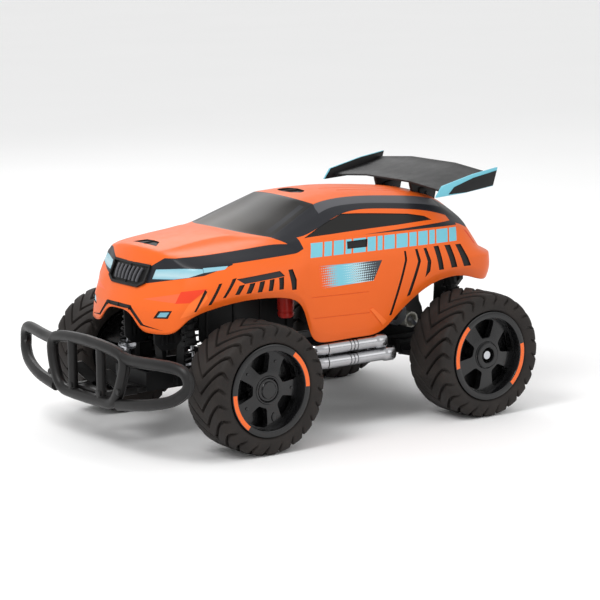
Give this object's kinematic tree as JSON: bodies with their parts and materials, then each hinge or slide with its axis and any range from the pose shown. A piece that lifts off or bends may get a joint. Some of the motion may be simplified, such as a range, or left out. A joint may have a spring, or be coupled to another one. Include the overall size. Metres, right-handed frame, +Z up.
{
  "type": "rc monster truck",
  "caption": "Off-road remote-control truck with a painted shell, tubular bumper, rear wing, sprung arms, steered front wheels and a geared rear drive.",
  "frame": {"origin": "on the ground under the middle of the truck's bounding box, wheels straight and suspension at rest", "axes": "+X to the nose, +Y to the truck's left, +Z up"},
  "size_m": [0.432, 0.3, 0.2334],
  "materials": {
    "shell_orange": "glossy painted shell with printed stripes",
    "molded_black": "satin moulded plastic",
    "bumper_grey": "satin moulded plastic",
    "tyre_rubber": "matte rubber",
    "rim_black": "gloss plastic",
    "bright_steel": "bright steel",
    "pipe_chrome": "chrome plated",
    "canister_red": "anodised red",
    "gear_white": "natural nylon",
    "battery_wrap": "shrink wrap"
  },
  "bodies": {
    "chassis": {"chassis_tub": "molded_black", "battery_pack": "battery_wrap", "receiver_box": "molded_black", "steering_servo": "molded_black", "drive_motor": "bright_steel", "gearbox_case": "molded_black", "gearbox_cover": "molded_black", "front_shock_tower": "molded_black", "rear_shock_tower": "molded_black", "front_bumper": "bumper_grey", "body_shell": "shell_orange", "grille": "molded_black", "rear_wing": "molded_black", "side_pipes_left": "pipe_chrome", "oil_canister_left": "canister_red", "wing_end_plate_left": "molded_black", "front_shock_body_left": "molded_black", "rear_shock_body_left": "molded_black", "front_spring_left": "bright_steel", "rear_spring_left": "bright_steel", "side_pipes_right": "pipe_chrome", "oil_canister_right": "canister_red", "wing_end_plate_right": "molded_black", "front_shock_body_right": "molded_black", "rear_shock_body_right": "molded_black", "front_spring_right": "bright_steel", "rear_spring_right": "bright_steel"},
    "battery_door": {"battery_door": "molded_black"},
    "power_switch": {"power_switch": "molded_black"},
    "servo_horn": {"servo_horn": "gear_white"},
    "tie_rod": {"tie_rod": "molded_black"},
    "motor_pinion": {"motor_pinion": "bright_steel"},
    "diff_gear": {"diff_gear": "gear_white"},
    "front_arm_left": {"front_arm_left": "molded_black"},
    "front_knuckle_left": {"front_knuckle_left": "molded_black"},
    "front_wheel_left": {"front_tyre_left": "tyre_rubber", "front_rim_left": "rim_black", "front_hub_cap_left": "rim_black"},
    "rear_arm_left": {"rear_arm_left": "molded_black"},
    "drive_shaft_left": {"drive_shaft_left": "bright_steel"},
    "rear_wheel_left": {"rear_tyre_left": "tyre_rubber", "rear_rim_left": "rim_black", "rear_hub_nut_left": "rim_black", "rear_axle_left": "bright_steel"},
    "front_shock_rod_left": {"front_shock_rod_left": "bright_steel"},
    "rear_shock_rod_left": {"rear_shock_rod_left": "bright_steel"},
    "front_arm_right": {"front_arm_right": "molded_black"},
    "front_knuckle_right": {"front_knuckle_right": "molded_black"},
    "front_wheel_right": {"front_tyre_right": "tyre_rubber", "front_rim_right": "rim_black", "front_hub_cap_right": "rim_black"},
    "rear_arm_right": {"rear_arm_right": "molded_black"},
    "drive_shaft_right": {"drive_shaft_right": "bright_steel"},
    "rear_wheel_right": {"rear_tyre_right": "tyre_rubber", "rear_rim_right": "rim_black", "rear_hub_nut_right": "rim_black", "rear_axle_right": "bright_steel"},
    "front_shock_rod_right": {"front_shock_rod_right": "bright_steel"},
    "rear_shock_rod_right": {"rear_shock_rod_right": "bright_steel"}
  },
  "joints": [
    {"name": "battery_door_hinge", "type": "hinge", "parent": "chassis", "child": "battery_door", "pos_m": [0.0194, 0, 0.0495], "axis": [0, -1, 0], "range_deg": [0, 90]},
    {"name": "power_switch_slide", "type": "slide", "parent": "chassis", "child": "power_switch", "axis": [1, 0, 0], "range_m": [0, 0.005]},
    {"name": "servo_horn_turn", "type": "hinge", "parent": "chassis", "child": "servo_horn", "pos_m": [0.0694, 0, 0.077], "axis": [0, 0, 1], "range_deg": [-34, 34]},
    {"name": "tie_rod_slide", "type": "slide", "parent": "chassis", "child": "tie_rod", "axis": [0, 1, 0], "range_m": [-0.0078, 0.0078]},
    {"name": "motor_pinion_spin", "type": "hinge", "parent": "chassis", "child": "motor_pinion", "pos_m": [-0.1278, 0, 0.0884], "axis": [0, 1, 0], "continuous": true},
    {"name": "diff_gear_spin", "type": "hinge", "parent": "chassis", "child": "diff_gear", "pos_m": [-0.1538, 0, 0.078], "axis": [0, 1, 0], "continuous": true},
    {"name": "front_arm_left_swing", "type": "hinge", "parent": "chassis", "child": "front_arm_left", "pos_m": [0.1026, 0.031, 0.058], "axis": [1, 0, 0], "range_deg": [-5, 6], "stiffness_Nm_per_rad": 1.6, "springref_deg": -17.19},
    {"name": "rear_arm_left_swing", "type": "hinge", "parent": "chassis", "child": "rear_arm_left", "pos_m": [-0.1538, 0.031, 0.058], "axis": [1, 0, 0], "range_deg": [-5, 6], "stiffness_Nm_per_rad": 1.6, "springref_deg": -17.19},
    {"name": "steer_left", "type": "hinge", "parent": "front_arm_left", "child": "front_knuckle_left", "pos_m": [0.1026, 0.084, 0.06], "axis": [0, 0, 1], "range_deg": [-22, 22]},
    {"name": "front_wheel_left_spin", "type": "hinge", "parent": "front_knuckle_left", "child": "front_wheel_left", "pos_m": [0.1026, 0.119, 0.06], "axis": [0, 1, 0], "continuous": true},
    {"name": "rear_wheel_left_spin", "type": "hinge", "parent": "rear_arm_left", "child": "rear_wheel_left", "pos_m": [-0.1538, 0.119, 0.06], "axis": [0, 1, 0], "continuous": true},
    {"name": "drive_shaft_left_spin", "type": "hinge", "parent": "rear_arm_left", "child": "drive_shaft_left", "pos_m": [-0.1538, 0.04275, 0.069], "axis": [0, 0.9326, -0.361], "continuous": true},
    {"name": "front_shock_left_slide", "type": "slide", "parent": "chassis", "child": "front_shock_rod_left", "axis": [0, -0.2788, 0.9603], "range_m": [-0.0029, 0.0035], "deforming": ["front_spring_left"]},
    {"name": "rear_shock_left_slide", "type": "slide", "parent": "chassis", "child": "rear_shock_rod_left", "axis": [0, -0.2499, 0.9683], "range_m": [-0.0034, 0.0041], "deforming": ["rear_spring_left"]},
    {"name": "front_arm_right_swing", "type": "hinge", "parent": "chassis", "child": "front_arm_right", "pos_m": [0.1026, -0.031, 0.058], "axis": [-1, 0, 0], "range_deg": [-5, 6], "stiffness_Nm_per_rad": 1.6, "springref_deg": -17.19},
    {"name": "rear_arm_right_swing", "type": "hinge", "parent": "chassis", "child": "rear_arm_right", "pos_m": [-0.1538, -0.031, 0.058], "axis": [-1, 0, 0], "range_deg": [-5, 6], "stiffness_Nm_per_rad": 1.6, "springref_deg": -17.19},
    {"name": "steer_right", "type": "hinge", "parent": "front_arm_right", "child": "front_knuckle_right", "pos_m": [0.1026, -0.084, 0.06], "axis": [0, 0, 1], "range_deg": [-22, 22]},
    {"name": "front_wheel_right_spin", "type": "hinge", "parent": "front_knuckle_right", "child": "front_wheel_right", "pos_m": [0.1026, -0.119, 0.06], "axis": [0, 1, 0], "continuous": true},
    {"name": "rear_wheel_right_spin", "type": "hinge", "parent": "rear_arm_right", "child": "rear_wheel_right", "pos_m": [-0.1538, -0.119, 0.06], "axis": [0, 1, 0], "continuous": true},
    {"name": "drive_shaft_right_spin", "type": "hinge", "parent": "rear_arm_right", "child": "drive_shaft_right", "pos_m": [-0.1538, -0.04275, 0.069], "axis": [0, 0.9326, 0.361], "continuous": true},
    {"name": "front_shock_right_slide", "type": "slide", "parent": "chassis", "child": "front_shock_rod_right", "axis": [0, 0.2788, 0.9603], "range_m": [-0.0029, 0.0035], "deforming": ["front_spring_right"]},
    {"name": "rear_shock_right_slide", "type": "slide", "parent": "chassis", "child": "rear_shock_rod_right", "axis": [0, 0.2499, 0.9683], "range_m": [-0.0034, 0.0041], "deforming": ["rear_spring_right"]}
  ],
  "couplings": [
    {"joint": "steer_right", "follows": "steer_left", "ratio": 1},
    {"joint": "tie_rod_slide", "follows": "steer_left", "m_per_rad": -0.02},
    {"joint": "servo_horn_turn", "follows": "steer_left", "ratio": -1.5152},
    {"joint": "motor_pinion_spin", "follows": "diff_gear_spin", "ratio": -3.6667},
    {"joint": "drive_shaft_left_spin", "follows": "rear_wheel_left_spin", "ratio": 1},
    {"joint": "front_shock_left_slide", "follows": "front_arm_left_swing", "m_per_rad": 0.03196},
    {"joint": "rear_shock_left_slide", "follows": "rear_arm_left_swing", "m_per_rad": 0.03778},
    {"joint": "drive_shaft_right_spin", "follows": "rear_wheel_right_spin", "ratio": 1},
    {"joint": "front_shock_right_slide", "follows": "front_arm_right_swing", "m_per_rad": 0.03196},
    {"joint": "rear_shock_right_slide", "follows": "rear_arm_right_swing", "m_per_rad": 0.03778}
  ]
}
